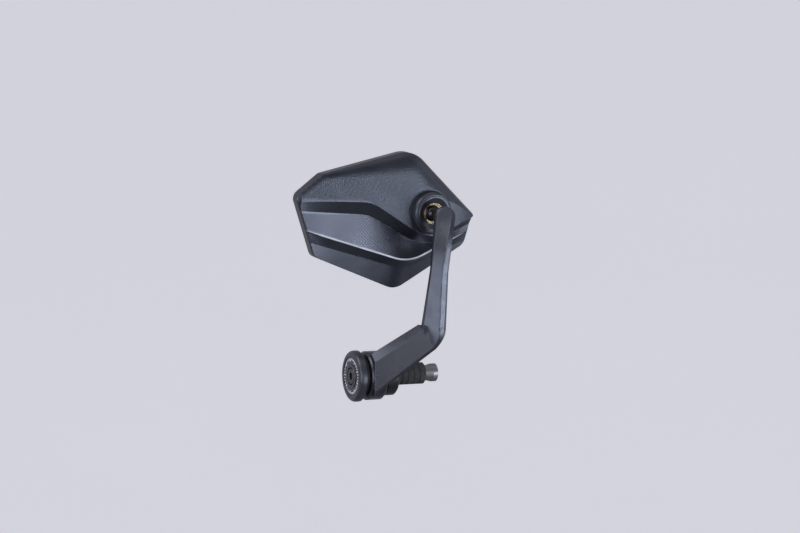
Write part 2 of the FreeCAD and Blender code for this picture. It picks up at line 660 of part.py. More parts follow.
def on_line(line, u, rounding=0.0):
    """V and W of a moulded line at a U, straight past its ends, its corners rounded on request."""
    k = 0
    while k < len(line) - 2 and u > line[k + 1][0]:
        k += 1
    a = line[k]
    b = line[k + 1]
    share = (u - a[0]) / (b[0] - a[0])
    result = [a[n] + (b[n] - a[n]) * share for n in (1, 2)]
    for before, corner, after in zip(line, line[1:], line[2:]):
        away = abs(u - corner[0])
        if away < rounding:
            for n in (1, 2):
                bend = (after[n] - corner[n]) / (after[0] - corner[0])
                bend -= (corner[n] - before[n]) / (corner[0] - before[0])
                result[n - 1] += bend * (rounding - away) ** 2 / (4.0 * rounding)
    return result


def channel_section(u, drop):
    """Outline across the moulded channel and lower facets at one U."""
    ceiling = SHELL_HEIGHT + 2 * CHANNEL_REACH
    ridge_v, ridge_w = on_line(RIDGE_LINE, u, RIDGE_ROUND)
    floor_v, floor_w = on_line(FLOOR_LINE, u, RIDGE_ROUND)
    lip_v, lip_w = on_line(LIP_LINE, u, LIP_ROUND)
    band_v, band_w = on_line(BAND_LINE, u, LIP_ROUND)
    edge_v, edge_w = on_line(EDGE_LINE, u, LIP_ROUND)
    rise = (ridge_w - floor_w) / (ridge_v - floor_v)
    lean = RIDGE_RUN * max(rise, RIDGE_LEAN) + RIDGE_LIFT
    outer_v = edge_v - CHANNEL_REACH
    outer_w = edge_w + (edge_w - band_w) / (edge_v - band_v) * (outer_v - edge_v)
    line = [(ridge_v + 3 * RIDGE_RUN, ceiling), (ridge_v + RIDGE_RUN, ridge_w + lean)]
    line += [(ridge_v, ridge_w), (floor_v, floor_w)]
    line += [(lip_v + LIP_FLAT, lip_w), (lip_v, lip_w - LIP_FLAT / 3)]
    line += [(band_v, band_w), (edge_v, edge_w), (outer_v, outer_w), (outer_v, ceiling)]
    points = [Vector(u, v, w - drop) for v, w in line]
    return Part.makePolygon(points + points[:1])


def channel(drop):
    """Everything above the moulded channel and the lower facets."""
    outer = min(corner[0] for corner in OUTLINE) - CHANNEL_END
    inboard = max(corner[0] for corner in OUTLINE) + CHANNEL_END
    stations = {outer, inboard}
    corners = RIDGE_LINE[1:-1] + FLOOR_LINE[1:-1]
    stations |= {corner[0] + RIDGE_ROUND * k for corner in corners for k in (-1, 0, 1)}
    turn = LIP_LINE[1][0]
    stations |= {turn + LIP_ROUND * k / 4 for k in range(-4, 5)}
    return Part.makeLoft([channel_section(u, drop) for u in sorted(stations)], True, True)


def boss():
    """Rounded boss round the ball socket."""
    base = BOSS_BASE_DIAMETER / 2
    top = BOSS_TOP_DIAMETER / 2
    profile = [(SHELL_BASE + BOSS_FOOT, 0.0), (SHELL_BASE + BOSS_FOOT, base)]
    for k in range(BOSS_ROUND_STEPS + 1):
        a = math.radians(90.0 * k / BOSS_ROUND_STEPS)
        along = BOSS_BASE + (BOSS_TOP - BOSS_BASE) * math.sin(a)
        profile.append((along, top + (base - top) * math.cos(a)))
    profile.append((BOSS_TOP, 0.0))
    return turned(profile, AXIS_Z)


def back_shell():
    """Moulded back with socket tube and screw posts."""
    outer = dome(0.0, 0.0, 0.0).cut(channel(0.0))
    inner = dome(SHELL_WALL, CAVITY_START, SHELL_WALL).cut(channel(CHANNEL_WALL))
    posts = []
    pilots = []
    for point in post_points():
        foot = point + Vector(0, 0, CARRIER_BACK)
        posts.append(Part.makeCylinder(POST_DIAMETER / 2, BOSS_TOP, foot, AXIS_Z))
        depth = SCREW_TIP + PILOT_EXTRA - CARRIER_BACK
        pilots.append(Part.makeCylinder(SCREW_DIAMETER / 2 + THREAD_CLEARANCE, depth, foot, AXIS_Z))
    tube_radius = SOCKET_BORE / 2 + SOCKET_TUBE_WALL
    tube = Part.makeCylinder(tube_radius, BOSS_BASE - PLUG_BOTTOM, Vector(0, 0, PLUG_BOTTOM), AXIS_Z)
    reach = outer.fuse(slab(SHELL_WALL, CARRIER_BACK, SHELL_BASE))
    shell = outer.cut(inner)
    shell = shell.fuse([post.common(reach) for post in posts])
    shell = shell.fuse([boss(), tube])
    bore = Part.makeCylinder(SOCKET_BORE / 2, BOSS_TOP, Vector(0, 0, 0), AXIS_Z)
    return shell.cut([bore] + pilots).removeSplitter()


# Ball socket


def round_ball(radius, angle):
    """Point at a distance from the ball's centre and an angle from the stud's axis."""
    a = math.radians(angle)
    return Vector(radius * math.sin(a), 0, BALL_DEPTH + radius * math.cos(a))


def seat(start, stop):
    """Spherical seat between two angles from the stud's axis."""
    middle = (start + stop) / 2
    inner = [round_ball(SEAT_INNER, angle) for angle in (start, middle, stop)]
    outer = [round_ball(SEAT_OUTER, angle) for angle in (stop, middle, start)]
    edges = [Part.Arc(*inner).toShape(), Part.makeLine(inner[2], outer[0])]
    edges += [Part.Arc(*outer).toShape(), Part.makeLine(outer[2], inner[0])]
    return Part.Face(Part.Wire(edges)).revolve(Vector(0, 0, 0), AXIS_Z, 360.0)


def socket_collar():
    """Ring that keeps the ball in, funnel-shaped towards the stud."""
    outer = SOCKET_BORE / 2 - PRESS_CLEARANCE
    lip = COLLAR_LIP_DIAMETER / 2
    mouth = COLLAR_MOUTH_DIAMETER / 2
    top = BOSS_TOP + COLLAR_LIP
    foot = BALL_DEPTH - COLLAR_FOOT
    throat = round_ball(SOCKET_INNER, FRONT_SEAT_FROM + SEAT_SHOWS)
    profile = [(foot, 0.0), (foot, outer), (BOSS_TOP, outer), (BOSS_TOP, lip)]
    profile += [(top - COLLAR_EDGE, lip), (top, lip - COLLAR_EDGE), (top, mouth)]
    profile += [(throat.z, throat.x), (throat.z, 0.0)]
    body = turned(profile, AXIS_Z)
    return body.cut(Part.makeSphere(SOCKET_INNER, Vector(0, 0, BALL_DEPTH)))


def pressure_plate():
    """Dished plate that pushes the rear seat."""
    outer = SOCKET_BORE / 2 - PRESS_CLEARANCE
    top = BALL_DEPTH - PLATE_DROP
    profile = [(PLATE_BOTTOM, 0.0), (PLATE_BOTTOM, outer), (top, outer), (top, 0.0)]
    body = turned(profile, AXIS_Z)
    return body.cut(Part.makeSphere(SOCKET_INNER, Vector(0, 0, BALL_DEPTH)))


def disc_spring():
    """Conical disc spring."""
    outer = SOCKET_BORE / 2 - SPRING_CLEARANCE
    inner = SPRING_BORE / 2
    profile = [(SPRING_BOTTOM, outer), (SPRING_BOTTOM + SPRING_THICKNESS, outer)]
    profile += [(PLATE_BOTTOM, inner), (PLATE_BOTTOM - SPRING_THICKNESS, inner)]
    return turned(profile, AXIS_Z)


def adjuster_plug():
    """Threaded plug with two key holes."""
    outer = SOCKET_BORE / 2 - PRESS_CLEARANCE
    body = Part.makeCylinder(outer, PLUG_THICKNESS, Vector(0, 0, PLUG_BOTTOM), AXIS_Z)
    holes = []
    for side in (-1, 1):
        at = Vector(side * PLUG_KEY_SPACING / 2, 0, PLUG_BOTTOM)
        holes.append(Part.makeCylinder(PLUG_KEY_DIAMETER / 2, PLUG_THICKNESS, at, AXIS_Z))
    return body.cut(holes)


def write(node, shape):
    """Saves one piece."""
    shape.exportStep("parts/%s.step" % node)


def main():
    os.makedirs("parts", exist_ok=True)
    write("expander_sleeve", expander_sleeve())
    write("wedge_nut", wedge_nut())
    write("clamp_bolt", clamp_bolt())
    write("lock_washer", lock_washer())
    write("end_cap", end_cap())
    write("thrust_ring", thrust_ring())
    write("friction_washer", friction_washer())
    write("spacer_collar", spacer_collar())
    write("arm", arm())
    write("ball_stud", ball_stud())
    write("stud_washer", stud_washer())
    write("rear_seat", in_head(seat(REAR_SEAT_FROM, 180.0)))
    write("front_seat", in_head(seat(FRONT_SEAT_FROM, FRONT_SEAT_TO)))
    write("socket_collar", in_head(socket_collar()))
    write("pressure_plate", in_head(pressure_plate()))
    write("disc_spring", in_head(disc_spring()))
    write("adjuster_plug", in_head(adjuster_plug()))
    write("back_shell", in_head(back_shell()))
    write("rim_gasket", in_head(rim_gasket()))
    write("front_rim", in_head(front_rim()))
    write("carrier_plate", in_head(carrier_plate()))
    write("carrier_screws", in_head(carrier_screws()))
    write("adhesive_pad", in_head(adhesive_pad()))
    write("mirror_glass", in_head(mirror_glass()))


main()
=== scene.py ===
import math

import bpy
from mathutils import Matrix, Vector


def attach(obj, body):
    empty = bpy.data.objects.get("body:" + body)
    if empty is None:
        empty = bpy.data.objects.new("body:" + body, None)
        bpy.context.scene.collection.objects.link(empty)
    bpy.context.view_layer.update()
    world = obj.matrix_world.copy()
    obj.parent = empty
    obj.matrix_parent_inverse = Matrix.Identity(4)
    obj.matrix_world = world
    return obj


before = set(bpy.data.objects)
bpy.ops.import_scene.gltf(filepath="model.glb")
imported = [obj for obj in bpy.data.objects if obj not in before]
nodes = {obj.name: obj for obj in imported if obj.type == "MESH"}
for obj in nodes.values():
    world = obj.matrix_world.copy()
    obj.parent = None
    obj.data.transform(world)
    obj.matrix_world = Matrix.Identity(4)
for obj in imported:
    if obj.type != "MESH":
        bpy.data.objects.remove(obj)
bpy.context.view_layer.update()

# Sizes repeated from the part, in metres and degrees
BALL_CENTRE = Vector((0.0259, -0.0210, 0.1294))
BALL_DEPTH = 0.025
HEAD_YAW = 5.0
HEAD_PITCH = 8.0
CAP_GROOVE_FLOOR = -0.0354

# The materials and the lip of the head are written in millimetres
MM = 0.001
FULL_TURN = 2.0 * math.pi
X_AXIS = (1.0, 0.0, 0.0)
Y_AXIS = (0.0, 1.0, 0.0)
Z_AXIS = (0.0, 0.0, 1.0)

# Thread of the bolt in millimetres, and where along X its shank starts
THREAD_PITCH = 1.25
THREAD_DEPTH = 0.22
SHANK_START = (-2.0, 0.0)

# Lines on the back of the head through (U, V) points in millimetres, and half the width of their soft edge
FIELD_TOP = ((-112.0, -0.7), (-51.0, -4.0), (-10.0, -25.2))
FIELD_FOOT = ((-112.0, -11.3), (-15.0, -39.4))
FACETS_TOP = ((-112.0, 10.5), (-51.0, 8.5), (-10.0, -17.0))
LINE_SOFT = 1.2
BOSS_RADIUS = 18.0
BOSS_SOFT = 0.4

# Along U: where the field ends at the right, where its dots fade in and where its matt left end goes over
FIELD_END = (-30.0, -8.0)
DOTS_FADE = (-105.0, -60.0)
MATT_FADE = (-110.0, -50.0)

# Dots and grain of the shell in millimetres; faint and fine are shares of their full height
DOT_PITCH = 2.6
DOT_RANGE = (-0.2, 0.8)
DOT_HEIGHT = 0.06
DOT_FAINT = 0.3
GRAIN_SIZE = 1.2
GRAIN_HEIGHT = 0.25
FINE_SIZE = 0.35
FINE_SHARE = 0.02
SHELL_EDGE = 0.7

# Ticks in the cap's ring groove, in metres from the cap's axis and from the groove's floor
TICK_COUNT = 36
TICK_LONG_EVERY = 4
TICK_LONG_FROM = 0.0118
TICK_FROM = 0.0128
TICK_TO = 0.0142
TICK_HALF_WIDTH = 0.00045
TICK_SUNK = 0.0001
TICK_PROUD = 0.00012

# Lip of the channel: the ends and the turn of its line as (U, V, W), and half of its rounded length
LIP_LEFT = (-112.0, -13.1, 10.3)
LIP_TURN = (-15.0, -41.2, 18.5)
LIP_RIGHT = (46.0, -16.0, 10.8)
LIP_ROUND = 13.0

# Bead on the lip, pale so that it stands as a painted highlight along the edge: how far it lies above and
# outside the line, its radius, and where along U it runs
BEAD_ABOVE = 0.7
BEAD_OUTSIDE = 0.1
BEAD_RADIUS = 0.8
BEAD_FROM = -104.0
BEAD_TO = 38.0
BEAD_STEPS = 90
BEAD_SIDES = 10
# Steps over which its ends taper, and the share of the radius that is left at their points
BEAD_TAPER = 10
BEAD_POINT = 0.1

# Bowl of paper round the object, in metres: flat floor, bend and wall
FLOOR_HEIGHT = -0.75
FLOOR_RADIUS = 2.2
BEND_RADIUS = 2.3
BEND_STEPS = 12
WALL_HEIGHT = 4.2
BOWL_SEGMENTS = 96

# Millimetres off the axis, and along Y, over which reflections come to see the paper's glow, up to a share
PAPER_REACH = (500.0, 1500.0)
PAPER_DEPTH = (-1500.0, 1500.0)
PAPER_SHARE = 0.7

# Point that the lamps face, in metres
LAMP_TARGET = Vector((0.0, -0.02, 0.09))

# Camera: its place in metres, the way from the object to it in degrees, and its lens in millimetres
CAMERA_PLACE = (-0.60757, -1.38023, 0.16558)
CAMERA_AZIMUTH = -24.0
CAMERA_ELEVATION = 3.0
CAMERA_LENS = 85.0
CAMERA_SENSOR = 36.0


def direction(azimuth, elevation):
    """Unit vector; azimuth 0 looks to -Y and turns towards +X."""
    a = math.radians(azimuth)
    e = math.radians(elevation)
    return Vector((math.sin(a) * math.cos(e), -math.cos(a) * math.cos(e), math.sin(e)))


# The head's own axes: U to the right, V up and W out of its back, from a point behind the ball
HEAD_W = direction(HEAD_YAW, -HEAD_PITCH)
HEAD_U = direction(HEAD_YAW + 90.0, 0.0)
HEAD_V = HEAD_W.cross(HEAD_U)
HEAD_ORIGIN = BALL_CENTRE - HEAD_W * BALL_DEPTH


# Materials

# Ranges of a noise that make up a whole change, from soft to sharp
NOISE_SOFT = (0.25, 0.75)
NOISE_PLAIN = (0.3, 0.7)
NOISE_SHARP = (0.35, 0.65)
NOISE_ROUGHNESS = 0.55

# Cosine between a face's normal and its rounded one, where an edge starts to be rubbed and where it is full
RUB_STARTS = 0.95
RUB_FULL = 0.75
# Millimetres of the patches that break the rubbing up, and the least share of it that they leave
RUB_PATCH = 2.5
RUB_LEAST = 0.25
BEVEL_SAMPLES = 6

# Colour sockets of the Mix node, by their number
MIX_FIRST = 6
MIX_SECOND = 7
MIX_RESULT = 2


class Finish:
    """One procedural material, built node by node."""

    def __init__(self, name):
        self.material = bpy.data.materials.new(name)
        self.material.use_nodes = True
        self.tree = self.material.node_tree
        self.tree.nodes.clear()
        output = self.add("ShaderNodeOutputMaterial")
        self.shader = self.add("ShaderNodeBsdfPrincipled")
        self.tree.links.new(self.shader.outputs[0], output.inputs["Surface"])
        position = self.add("ShaderNodeTexCoord").outputs["Object"]
        scaled = self.add("ShaderNodeVectorMath", {0: position, "Scale": 1.0 / MM}, operation="SCALE")
        self.place = scaled.outputs[0]

    def feed(self, socket, value):
        """Gives a socket a plain value, or the socket that feeds it."""
        if isinstance(value, bpy.types.NodeSocket):
            self.tree.links.new(value, socket)
        elif socket.type == "RGBA":
            socket.default_value = (*value, 1.0)
        else:
            socket.default_value = value

    def add(self, kind, inputs=None, **settings):
        """New node, with its settings made before its inputs are fed."""
        node = self.tree.nodes.new(kind)
        for key, value in settings.items():
            setattr(node, key, value)
        for key, value in (inputs or {}).items():
            self.feed(node.inputs[key], value)
        return node

    def set(self, **inputs):
        """Feeds the shader's inputs, named with underscores."""
        for key, value in inputs.items():
            self.feed(self.shader.inputs[key.replace("_", " ")], value)

    def math(self, operation, a, b=0.0):
        return self.add("ShaderNodeMath", {0: a, 1: b}, operation=operation).outputs[0]

    def plus(self, a, b):
        return self.math("ADD", a, b)

    def minus(self, a, b):
        return self.math("SUBTRACT", a, b)

    def times(self, a, b):
        return self.math("MULTIPLY", a, b)

    def length(self, a, b):
        """Distance from the origin to the point (a, b)."""
        return self.math("SQRT", self.plus(self.times(a, a), self.times(b, b)))

    def dot(self, axis, vector=None):
        """Dot product of an axis with a vector, or with the place on the object."""
        inputs = {0: vector or self.place, 1: axis}
        return self.add("ShaderNodeVectorMath", inputs, operation="DOT_PRODUCT").outputs["Value"]

    def ramp(self, value, low, high, to_low=0.0, to_high=1.0):
        """Value moved from one range to another, smooth at both ends."""
        inputs = {"Value": value, "From Min": low, "From Max": high, "To Min": to_low, "To Max": to_high}
        return self.add("ShaderNodeMapRange", inputs, interpolation_type="SMOOTHSTEP").outputs["Result"]

    def vary(self, noise, limits, middle, amount):
        """Value that a noise moves up and down about its middle."""
        return self.ramp(noise, *limits, middle - amount, middle + amount)

    def noise(self, size, detail=3.0, stretch=(1.0, 1.0, 1.0)):
        """Noise from 0 to 1 with features of a size in millimetres."""
        stretched = self.add("ShaderNodeVectorMath", {0: self.place, 1: stretch}, operation="MULTIPLY")
        inputs = {"Vector": stretched.outputs[0], "Scale": 1.0 / size, "Detail": detail,
                  "Roughness": NOISE_ROUGHNESS}
        return self.add("ShaderNodeTexNoise", inputs).outputs["Fac"]

    def mix(self, share, a, b):
        """Colour that goes from the first to the second as the share goes from 0 to 1."""
        inputs = {"Factor": share, MIX_FIRST: a, MIX_SECOND: b}
        return self.add("ShaderNodeMix", inputs, data_type="RGBA").outputs[MIX_RESULT]

    def rounded(self, radius):
        """Normal with the edges rounded by a radius in millimetres."""
        return self.add("ShaderNodeBevel", {"Radius": radius * MM}, samples=BEVEL_SAMPLES).outputs[0]

    def worn_edge(self, rounded):
        """1 on edges and 0 on faces, broken up by noise."""
        plain = self.add("ShaderNodeNewGeometry").outputs["Normal"]
        edge = self.ramp(self.dot(plain, rounded), RUB_STARTS, RUB_FULL)
        return self.times(edge, self.ramp(self.noise(RUB_PATCH), *NOISE_SHARP, RUB_LEAST, 1.0))

    def bump(self, height, depth, normal):
        """Normal pushed by a height of 0 to 1, with its depth in millimetres."""
        inputs = {"Height": height, "Strength": 1.0, "Distance": depth * MM, "Normal": normal}
        return self.add("ShaderNodeBump", inputs).outputs[0]


# Coatings and plastics: how much clouds lift the colour, and how far clouds and grain move the roughness
WHITE = (1.0, 1.0, 1.0)
# Tint of the reflections on dark coatings and plastics: a painted cool reflection, blue like the lamps
PAINTED_COOL_REFLECTION = (0.76, 0.81, 1.0)
SPECULAR = 0.75
COAT_LIFT = 1.25
COAT_RUB = 0.6
COAT_CLOUDS = 0.05
COAT_GRAIN = 0.03


def coated(name, base, worn, roughness, grain, depth, edge=0.5, tint=WHITE):
    """Painted or moulded surface: grain, cloudy roughness and edges that are rubbed lighter."""
    finish = Finish(name)
    normal = finish.rounded(edge)
    clouds = finish.noise(size=14.0, detail=4.0)
    speckle = finish.noise(size=grain, detail=2.0)
    shade = finish.mix(finish.ramp(clouds, *NOISE_PLAIN), base, [c * COAT_LIFT for c in base])
    shade = finish.mix(finish.times(finish.worn_edge(normal), COAT_RUB), shade, worn)
    rough = finish.plus(finish.vary(clouds, NOISE_SOFT, roughness, COAT_CLOUDS),
                        finish.vary(speckle, NOISE_PLAIN, 0.0, COAT_GRAIN))
    finish.set(Base_Color=shade, Roughness=rough, Specular_IOR_Level=SPECULAR, Specular_Tint=tint,
               Normal=finish.bump(speckle, depth, normal))
    return finish


# Metals: the same, and the stretch of the noise in their marks, drawn out round X by turning or even
METAL_LIFT = 1.2
METAL_RUB = 0.7
METAL_CLOUDS = 0.05
METAL_MARKS = 0.04
MARK_DEPTH = 0.02
TURNED_MARKS = (1.0 / 0.35, 0.06, 0.06)
EVEN_MARKS = (0.4, 0.4, 0.4)


def metal(name, base, worn, roughness, metallic, edge=0.3, turned=True):
    """Metal with turning marks or an even grain, and edges that are rubbed lighter."""
    finish = Finish(name)
    normal = finish.rounded(edge)
    marks = finish.noise(size=1.0, detail=2.0, stretch=TURNED_MARKS if turned else EVEN_MARKS)
    clouds = finish.noise(size=9.0, detail=4.0)
    shade = finish.mix(finish.ramp(clouds, *NOISE_PLAIN), base, [c * METAL_LIFT for c in base])
    shade = finish.mix(finish.times(finish.worn_edge(normal), METAL_RUB), shade, worn)
    rough = finish.plus(finish.vary(clouds, NOISE_PLAIN, roughness, METAL_CLOUDS),
                        finish.vary(marks, NOISE_PLAIN, 0.0, METAL_MARKS))
    finish.set(Base_Color=shade, Roughness=rough, Metallic=metallic,
               Normal=finish.bump(marks, MARK_DEPTH, normal))
    return finish


def bolt_finish():
    """Black oxide steel; the shank carries its thread as a fine helix."""
    finish = metal("bolt_steel", base=(0.055, 0.055, 0.06), worn=(0.3, 0.3, 0.31),
                   roughness=0.34, metallic=0.8)
    x = finish.dot(X_AXIS)
    angle = finish.math("ARCTAN2", finish.dot(Z_AXIS), finish.dot(Y_AXIS))
    turns = finish.minus(finish.times(x, FULL_TURN / THREAD_PITCH), angle)
    thread = finish.times(finish.math("SINE", turns), finish.ramp(x, *SHANK_START))
    normal = finish.shader.inputs["Normal"].links[0].from_socket
    finish.set(Normal=finish.bump(thread, THREAD_DEPTH, normal))
    return finish


# Roughness of the shell, and what its regions add to it
SHELL_ROUGH = (0.34, 0.41)
FACETS_ROUGH = -0.12
BOSS_ROUGH = -0.04
MATT_ROUGH = 0.16
GRAIN_ROUGH = 0.03

# Colours of the shell, and how strongly its edges are rubbed
SHELL_DARK = (0.008, 0.009, 0.012)
SHELL_LIGHT = (0.012, 0.013, 0.017)
SHELL_DOT = (0.045, 0.049, 0.066)
SHELL_BOSS = (0.014, 0.015, 0.019)
SHELL_WORN = (0.11, 0.115, 0.13)
SHELL_RUB = 0.45


class ShellFinish(Finish):
    """Moulded shell: grained plateau, dotted field in the channel and smoother facets."""

    def __init__(self):
        super().__init__("shell_plastic")
        origin = HEAD_ORIGIN / MM
        self.u = self.minus(self.dot(HEAD_U), origin.dot(HEAD_U))
        self.v = self.minus(self.dot(HEAD_V), origin.dot(HEAD_V))
        self.field = self.channel_field()
        self.dots = self.field_dots()
        self.facets = self.below(FACETS_TOP)
        from_axis = self.length(self.u, self.v)
        self.boss = self.ramp(from_axis, BOSS_RADIUS - BOSS_SOFT, BOSS_RADIUS + BOSS_SOFT, 1.0, 0.0)
        self.grained = self.minus(1.0, self.math("MAXIMUM", self.facets, self.boss))
        self.grain = self.noise(GRAIN_SIZE)
        self.clouds = self.noise(size=22.0, detail=4.0)
        rounded = self.rounded(SHELL_EDGE)
        self.set(Base_Color=self.shade(rounded), Roughness=self.roughness(), Normal=self.moulded(rounded),
                 Specular_IOR_Level=SPECULAR, Specular_Tint=PAINTED_COOL_REFLECTION)

    def below(self, points):
        """1 below each of the lines that join (U, V) points, and 0 above any of them."""
        result = 1.0
        for (u_1, v_1), (u_2, v_2) in zip(points, points[1:]):
            slope = (v_2 - v_1) / (u_2 - u_1)
            line = self.plus(self.times(self.u, slope), v_1 - slope * u_1)
            side = self.ramp(self.minus(line, self.v), -LINE_SOFT, LINE_SOFT)
            result = self.times(result, side)
        return result

    def channel_field(self):
        """1 on the field between the ridge and the lip of the channel."""
        field = self.times(self.below(FIELD_TOP), self.minus(1.0, self.below(FIELD_FOOT)))
        return self.times(field, self.ramp(self.u, *FIELD_END, 1.0, 0.0))

    def field_dots(self):
        """Rows of dots over the field, faint at its left end."""
        turn = FULL_TURN / DOT_PITCH
        across = self.math("SINE", self.times(self.u, turn))
        upwards = self.math("SINE", self.times(self.v, turn))
        dots = self.ramp(self.times(across, upwards), *DOT_RANGE)
        strength = self.times(self.field, self.ramp(self.u, *DOTS_FADE, DOT_FAINT, 1.0))
        return self.times(strength, dots)

    def shade(self, rounded):
        shade = self.mix(self.ramp(self.clouds, *NOISE_PLAIN), SHELL_DARK, SHELL_LIGHT)
        shade = self.mix(self.dots, shade, SHELL_DOT)
        shade = self.mix(self.times(self.worn_edge(rounded), SHELL_RUB), shade, SHELL_WORN)
        return self.mix(self.boss, shade, SHELL_BOSS)

    def roughness(self):
        rough = self.ramp(self.clouds, *NOISE_SOFT, *SHELL_ROUGH)
        rough = self.plus(rough, self.times(self.facets, FACETS_ROUGH))
        rough = self.plus(rough, self.times(self.boss, BOSS_ROUGH))
        matt = self.ramp(self.u, *MATT_FADE, MATT_ROUGH, 0.0)
        rough = self.plus(rough, self.times(self.field, matt))
        speckle = self.vary(self.grain, NOISE_PLAIN, 0.0, GRAIN_ROUGH)
        return self.plus(rough, self.times(self.grained, speckle))

    def moulded(self, rounded):
        """Normal with the grain and then the dots pressed into it."""
        fine = self.noise(FINE_SIZE, detail=2.0)
        height = self.plus(self.times(self.grained, self.grain), self.times(fine, FINE_SHARE))
        grained = self.bump(height, GRAIN_HEIGHT, rounded)
        return self.bump(self.dots, DOT_HEIGHT, grained)


# Glass: colours and roughness from clear to smeared, and where in the noise the smears lie
GLASS_CLEAR = (0.74, 0.79, 0.84)
GLASS_PALE = (0.80, 0.84, 0.88)
GLASS_ROUGH = (0.02, 0.06)
SMEAR_RANGE = (0.4, 0.8)


def glass_finish():
    """Silvered glass with a faint cool tint and a few smears."""
    finish = Finish("mirror_glass")
    smears = finish.noise(size=30.0, detail=5.0)
    shade = finish.mix(finish.ramp(smears, *NOISE_PLAIN), GLASS_CLEAR, GLASS_PALE)
    finish.set(Base_Color=shade, Metallic=1.0, Roughness=finish.ramp(smears, *SMEAR_RANGE, *GLASS_ROUGH))
    return finish


# Dust on rubber: where in the noise it lies, how it lifts the colour, and how far the roughness goes
DUST_RANGE = (0.45, 0.8)
DUST_LIFT = 1.9
DUST_PALE = 0.008
DUST_BELOW = 0.06
DUST_ABOVE = 0.1
RUBBER_EDGE = 0.3
RUBBER_DEPTH = 0.05


def rubber(name, base, roughness=0.75):
    """Dusty moulded rubber, foam or soft plastic."""
    finish = Finish(name)
    normal = finish.rounded(RUBBER_EDGE)
    grain = finish.noise(size=0.6, detail=4.0)
    dust = finish.noise(size=6.0, detail=5.0)
    shade = finish.mix(finish.ramp(dust, *DUST_RANGE), base, [c * DUST_LIFT + DUST_PALE for c in base])
    rough = finish.ramp(dust, *NOISE_PLAIN, roughness - DUST_BELOW, roughness + DUST_ABOVE)
    finish.set(Base_Color=shade, Roughness=rough, Normal=finish.bump(grain, RUBBER_DEPTH, normal))
    return finish


FINISHES = {
    "arm": coated("arm_coating", base=(0.011, 0.011, 0.014), worn=(0.10, 0.105, 0.12),
                  roughness=0.31, grain=0.5, depth=0.035, edge=1.0, tint=PAINTED_COOL_REFLECTION),
    "back_shell": ShellFinish(),
    "front_rim": coated("rim_plastic", base=(0.014, 0.014, 0.017), worn=(0.09, 0.09, 0.105),
                        roughness=0.32, grain=0.8, depth=0.02, tint=PAINTED_COOL_REFLECTION),
    "socket_collar": coated("socket_plastic", base=(0.016, 0.016, 0.020), worn=(0.10, 0.10, 0.12),
                            roughness=0.34, grain=1.2, depth=0.01, edge=0.8, tint=PAINTED_COOL_REFLECTION),
    "end_cap": metal("cap_anodised", base=(0.045, 0.048, 0.06), worn=(0.12, 0.125, 0.15),
                     roughness=0.36, metallic=0.5, edge=0.5),
    "spacer_collar": metal("collar_anodised", base=(0.010, 0.010, 0.012), worn=(0.08, 0.08, 0.09),
                           roughness=0.46, metallic=0.2, edge=0.5),
    "clamp_bolt": bolt_finish(),
    "lock_washer": metal("washer_steel", base=(0.1, 0.1, 0.105), worn=(0.34, 0.34, 0.35),
                         roughness=0.36, metallic=0.9),
    "wedge_nut": metal("wedge_aluminium", base=(0.22, 0.22, 0.23), worn=(0.4, 0.4, 0.41),
                       roughness=0.44, metallic=1.0),
    "thrust_ring": rubber("ring_plastic", base=(0.012, 0.012, 0.014), roughness=0.55),
    "friction_washer": rubber("washer_plastic", base=(0.04, 0.04, 0.042), roughness=0.6),
    "expander_sleeve": rubber("sleeve_rubber", base=(0.022, 0.022, 0.024)),
    "rim_gasket": rubber("gasket_rubber", base=(0.008, 0.008, 0.009)),
    "adhesive_pad": rubber("pad_foam", base=(0.08, 0.08, 0.08)),
    "ball_stud": metal("stud_steel", base=(0.03, 0.03, 0.034), worn=(0.1, 0.1, 0.1),
                       roughness=0.24, metallic=1.0, turned=False),
    "front_seat": metal("seat_brass", base=(0.78, 0.65, 0.42), worn=(0.9, 0.82, 0.62),
                        roughness=0.24, metallic=1.0, turned=False),
    "disc_spring": metal("spring_steel", base=(0.4, 0.4, 0.41), worn=(0.6, 0.6, 0.6),
                         roughness=0.3, metallic=1.0, edge=0.2, turned=False),
    "carrier_screws": metal("screw_steel", base=(0.5, 0.5, 0.5), worn=(0.7, 0.7, 0.7),
                            roughness=0.3, metallic=1.0, edge=0.2, turned=False),
    "carrier_plate": coated("inner_plastic", base=(0.05, 0.05, 0.05), worn=(0.1, 0.1, 0.1),
                            roughness=0.5, grain=0.8, depth=0.02),
    "mirror_glass": glass_finish(),
}
FINISHES["stud_washer"] = FINISHES["lock_washer"]
FINISHES["rear_seat"] = FINISHES["front_seat"]
FINISHES["pressure_plate"] = FINISHES["carrier_plate"]
FINISHES["adjuster_plug"] = FINISHES["carrier_plate"]


# Pieces

for name, obj in nodes.items():
    obj.data.materials.clear()
    obj.data.materials.append(FINISHES[name].material)


def add_mesh(name, points, faces, finish, smooth):
    """New object with one material, linked to the scene."""
    mesh = bpy.data.meshes.new(name)
    mesh.from_pydata(points, [], faces)
    mesh.update()
    for face in mesh.polygons:
        face.use_smooth = smooth
    mesh.materials.append(finish.material)
    obj = bpy.data.objects.new(name, mesh)
    bpy.context.scene.collection.objects.link(obj)
    return obj


def ring_faces(first, rings, count):
    """Faces between rings of so many points each; the first ring's points start at a number."""
    faces = []
    for row in range(rings - 1):
        start = first + row * count
        for k in range(count):
            after = (k + 1) % count
            faces.append((start + k, start + after, start + count + after, start + count + k))
    return faces


# Corners of a tick's faces; the first four corners are sunk in the floor
TICK_FACES = ((7, 6, 5, 4), (3, 7, 4, 0), (5, 6, 2, 1), (4, 5, 1, 0), (6, 7, 3, 2), (0, 1, 2, 3))


